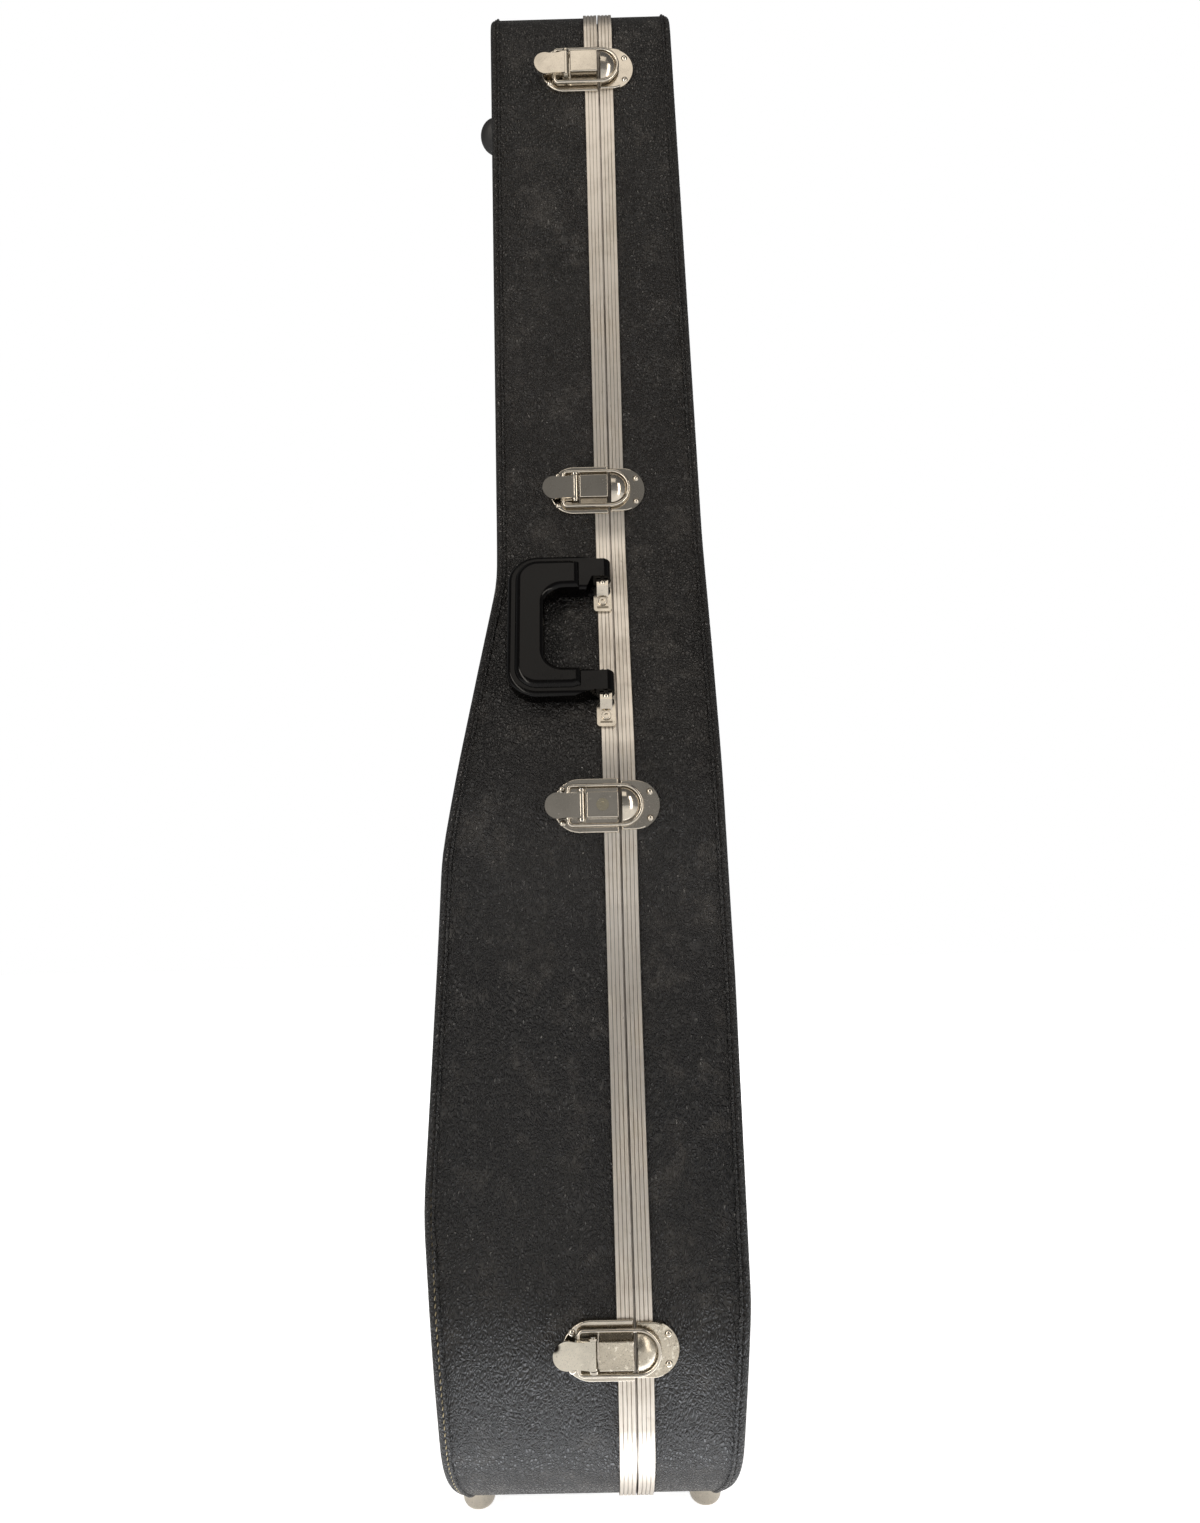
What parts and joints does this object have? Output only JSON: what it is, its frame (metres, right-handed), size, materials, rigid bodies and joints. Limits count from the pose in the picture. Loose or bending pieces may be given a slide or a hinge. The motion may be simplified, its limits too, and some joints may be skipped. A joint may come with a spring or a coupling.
{
  "type": "parlour guitar case",
  "caption": "Shaped hard case for a small guitar, with a deep half, a hinged lid, ribbed aluminium trim, draw latches, a moulded handle, glides and a padded inside.",
  "frame": {"origin": "middle of the whole case's outline, on the floor under its tail glides, as it stands upright", "axes": "+Z along the case from tail to head end, -Y towards the latch and handle side, +Y towards the hinges, -X towards the deep half, +X towards the lid"},
  "size_m": [0.2041, 0.399, 1.0175],
  "materials": {
    "leatherette": "pebbled black covering, satin, worn on the edges",
    "aluminium_trim": "fine lengthwise ribs, lightly scratched",
    "nickel": "nickel plate, polished, dulled and speckled by wear",
    "black_plastic": "moulded, glossy",
    "black_rubber": "moulded, satin",
    "plush": "short pile over foam",
    "webbing": "woven tab",
    "steel_pin": "bright"
  },
  "bodies": {
    "case_body": {"accessory_tray": "plush", "back_feet": "black_rubber", "deep_lining": "plush", "deep_panel": "leatherette", "deep_seam_bead": "leatherette", "deep_trim": "aluminium_trim", "deep_wall": "leatherette", "flap_pins": "steel_pin", "handle_bracket_lower": "nickel", "handle_bracket_upper": "nickel", "handle_plate_rivets": "nickel", "handle_strap_rivets": "nickel", "hinge_leaf_deep_1": "nickel", "hinge_leaf_deep_2": "nickel", "hinge_pins": "steel_pin", "hinge_rivets_deep": "nickel", "latch_box_1": "nickel", "latch_box_2": "nickel", "latch_box_3": "nickel", "latch_box_4": "nickel", "latch_lugs": "nickel", "latch_plate_1": "nickel", "latch_plate_2": "nickel", "latch_plate_3": "nickel", "latch_plate_4": "nickel", "latch_rivets_deep": "nickel", "lever_pins": "steel_pin", "neck_cradle": "plush", "tail_glides_deep": "nickel"},
    "lid": {"lid_panel": "leatherette", "lid_wall": "leatherette", "lid_seam_bead": "leatherette", "lid_trim": "aluminium_trim", "lid_lining": "plush", "latch_keeper_1": "nickel", "latch_keeper_2": "nickel", "latch_keeper_3": "nickel", "latch_keeper_4": "nickel", "latch_rivets_lid": "nickel", "tail_glides_lid": "nickel", "hinge_leaf_lid_1": "nickel", "hinge_leaf_lid_2": "nickel", "hinge_rivets_lid": "nickel"},
    "lever_1": {"latch_lever_1": "nickel"},
    "bail_1": {"latch_bail_1": "nickel"},
    "lever_2": {"latch_lever_2": "nickel"},
    "bail_2": {"latch_bail_2": "nickel"},
    "lever_3": {"latch_lever_3": "nickel"},
    "bail_3": {"latch_bail_3": "nickel"},
    "lever_4": {"latch_lever_4": "nickel"},
    "bail_4": {"latch_bail_4": "nickel"},
    "handle": {"carrying_handle": "black_plastic"},
    "lock": {"lock_plug": "nickel"},
    "accessory_flap": {"accessory_flap": "plush", "flap_tab": "webbing"}
  },
  "joints": [
    {"name": "lid_hinge", "type": "hinge", "parent": "case_body", "child": "lid", "pos_m": [0.02615, 0.19411, 0.14932], "axis": [0, -0.1181, 0.993], "range_deg": [0, 100]},
    {"name": "lever_1_turn", "type": "hinge", "parent": "case_body", "child": "lever_1", "pos_m": [0.00315, -0.19679, 0.12953], "axis": [0, -0.0097, 1], "range_deg": [0, 105]},
    {"name": "bail_1_turn", "type": "hinge", "parent": "lever_1", "child": "bail_1", "pos_m": [-0.00485, -0.19469, 0.12955], "axis": [0, -0.0097, 1], "range_deg": [-132, 0]},
    {"name": "lever_2_turn", "type": "hinge", "parent": "case_body", "child": "lever_2", "pos_m": [0.00315, -0.16113, 0.43266], "axis": [0, -0.005, 1], "range_deg": [0, 105]},
    {"name": "bail_2_turn", "type": "hinge", "parent": "lever_2", "child": "bail_2", "pos_m": [-0.00485, -0.15903, 0.43267], "axis": [0, -0.005, 1], "range_deg": [-132, 0]},
    {"name": "lever_3_turn", "type": "hinge", "parent": "case_body", "child": "lever_3", "pos_m": [0.00315, -0.09726, 0.65469], "axis": [0, 0.0126, 0.9999], "range_deg": [0, 105]},
    {"name": "bail_3_turn", "type": "hinge", "parent": "lever_3", "child": "bail_3", "pos_m": [-0.00485, -0.09517, 0.65466], "axis": [0, 0.0126, 0.9999], "range_deg": [-132, 0]},
    {"name": "lever_4_turn", "type": "hinge", "parent": "case_body", "child": "lever_4", "pos_m": [0.00315, -0.09341, 0.96009], "axis": [0, 0.0126, 0.9999], "range_deg": [0, 105]},
    {"name": "bail_4_turn", "type": "hinge", "parent": "lever_4", "child": "bail_4", "pos_m": [-0.00485, -0.09131, 0.96006], "axis": [0, 0.0126, 0.9999], "range_deg": [-132, 0]},
    {"name": "handle_swing", "type": "hinge", "parent": "case_body", "child": "handle", "pos_m": [0.01955, -0.12593, 0.55059], "axis": [0, 0.356, 0.9345], "range_deg": [0, 170]},
    {"name": "lock_turn", "type": "hinge", "parent": "case_body", "child": "lock", "pos_m": [0.01565, -0.16343, 0.43265], "axis": [0, -1, -0.005], "range_deg": [0, 90]},
    {"name": "flap_turn", "type": "hinge", "parent": "case_body", "child": "accessory_flap", "pos_m": [-0.00205, 0.0005, 0.771], "axis": [0, -1, 0], "range_deg": [0, 85]}
  ],
  "couplings": [
    {"joint": "bail_1_turn", "follows": "lever_1_turn", "ratio": -1.25},
    {"joint": "bail_2_turn", "follows": "lever_2_turn", "ratio": -1.25},
    {"joint": "bail_3_turn", "follows": "lever_3_turn", "ratio": -1.25},
    {"joint": "bail_4_turn", "follows": "lever_4_turn", "ratio": -1.25}
  ]
}
